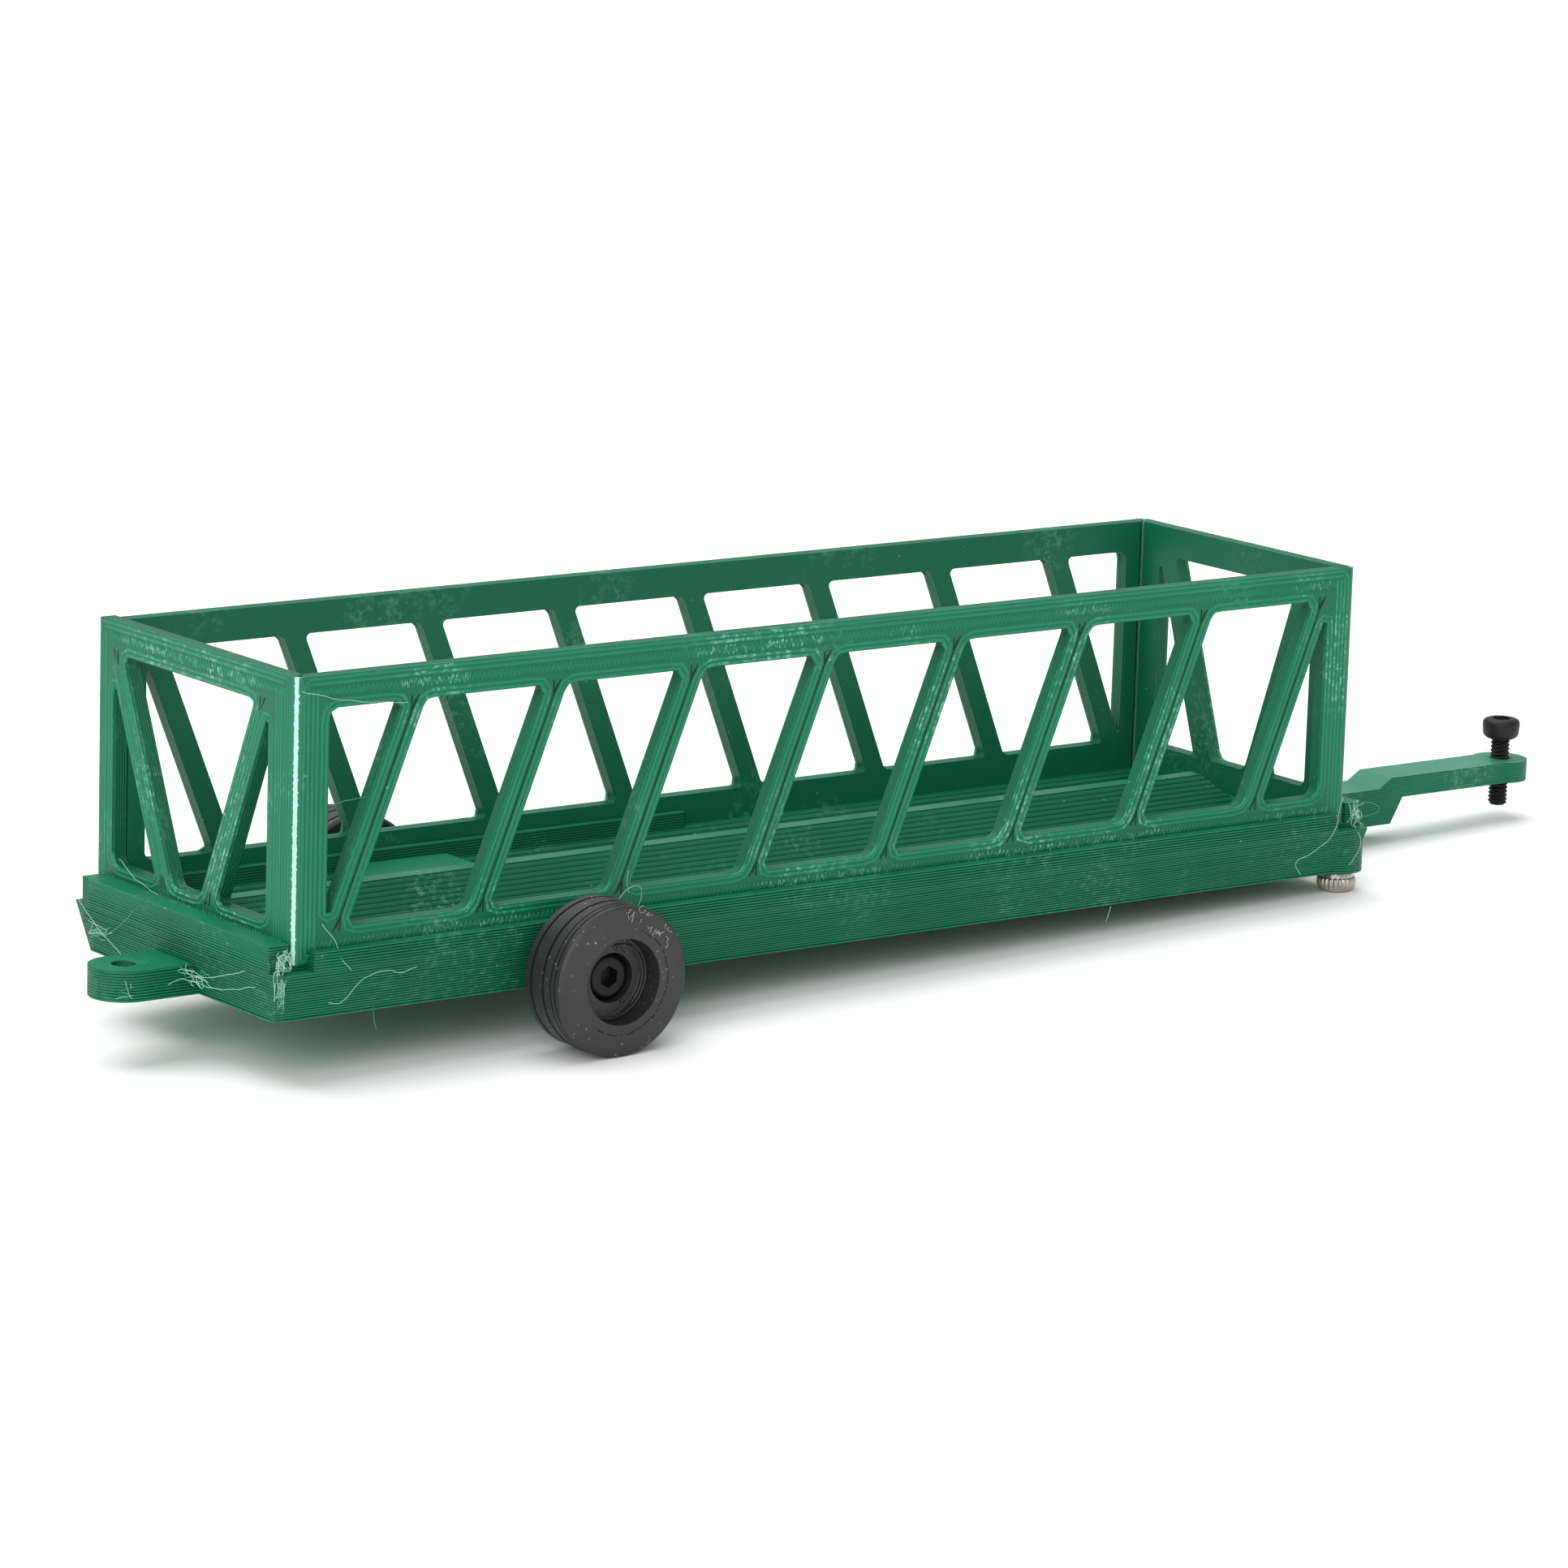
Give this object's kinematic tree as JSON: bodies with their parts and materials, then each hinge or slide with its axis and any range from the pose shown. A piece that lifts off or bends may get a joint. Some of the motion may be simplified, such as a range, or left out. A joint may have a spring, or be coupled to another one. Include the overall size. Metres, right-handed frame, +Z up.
{
  "type": "scale model livestock feeder wagon",
  "caption": "Small green printed model of a tow-behind feeder wagon: slatted cage in a tray, a wheel each side and a rigid drawbar with a hitch pin.",
  "frame": {"origin": "middle of the overall length and width, on the level of the tyres' lowest points", "axes": "+X forwards along the drawbar, +Y to the wagon's left, +Z up"},
  "size_m": [0.1684, 0.0486, 0.035],
  "materials": {
    "green_print": "satin printed plastic with visible layers",
    "creased_green_print": "thin printed web, stress-whitened where it is folded",
    "wheel_print": "satin dark grey printed plastic",
    "black_screw": "black oxide steel",
    "stainless_screw": "bare stainless steel with knurled head"
  },
  "bodies": {
    "wagon": {"base_tray": "green_print", "side_panel_right": "green_print", "side_panel_left": "green_print", "end_panel_rear": "green_print", "end_panel_front": "green_print", "fold_strip_rear_right": "creased_green_print", "fold_strip_front_right": "creased_green_print", "fold_strip_front_left": "creased_green_print", "drawbar": "green_print", "axle_screw_right": "black_screw", "axle_screw_left": "black_screw", "foot_screw_right": "stainless_screw", "foot_screw_left": "stainless_screw"},
    "wheel_right": {"tyre_right": "wheel_print", "wheel_rim_right": "wheel_print"},
    "wheel_left": {"tyre_left": "wheel_print", "wheel_rim_left": "wheel_print"},
    "pin": {"hitch_pin": "black_screw"}
  },
  "joints": [
    {"name": "wheel_right_spin", "type": "hinge", "parent": "wagon", "child": "wheel_right", "pos_m": [-0.04485, -0.0215, 0.00678], "axis": [0, 1, 0], "continuous": true},
    {"name": "wheel_left_spin", "type": "hinge", "parent": "wagon", "child": "wheel_left", "pos_m": [-0.04485, 0.0215, 0.00678], "axis": [0, 1, 0], "continuous": true},
    {"name": "hitch_pin_lift", "type": "slide", "parent": "wagon", "child": "pin", "axis": [0, 0, 1], "range_m": [-0.002, 0.004]}
  ]
}
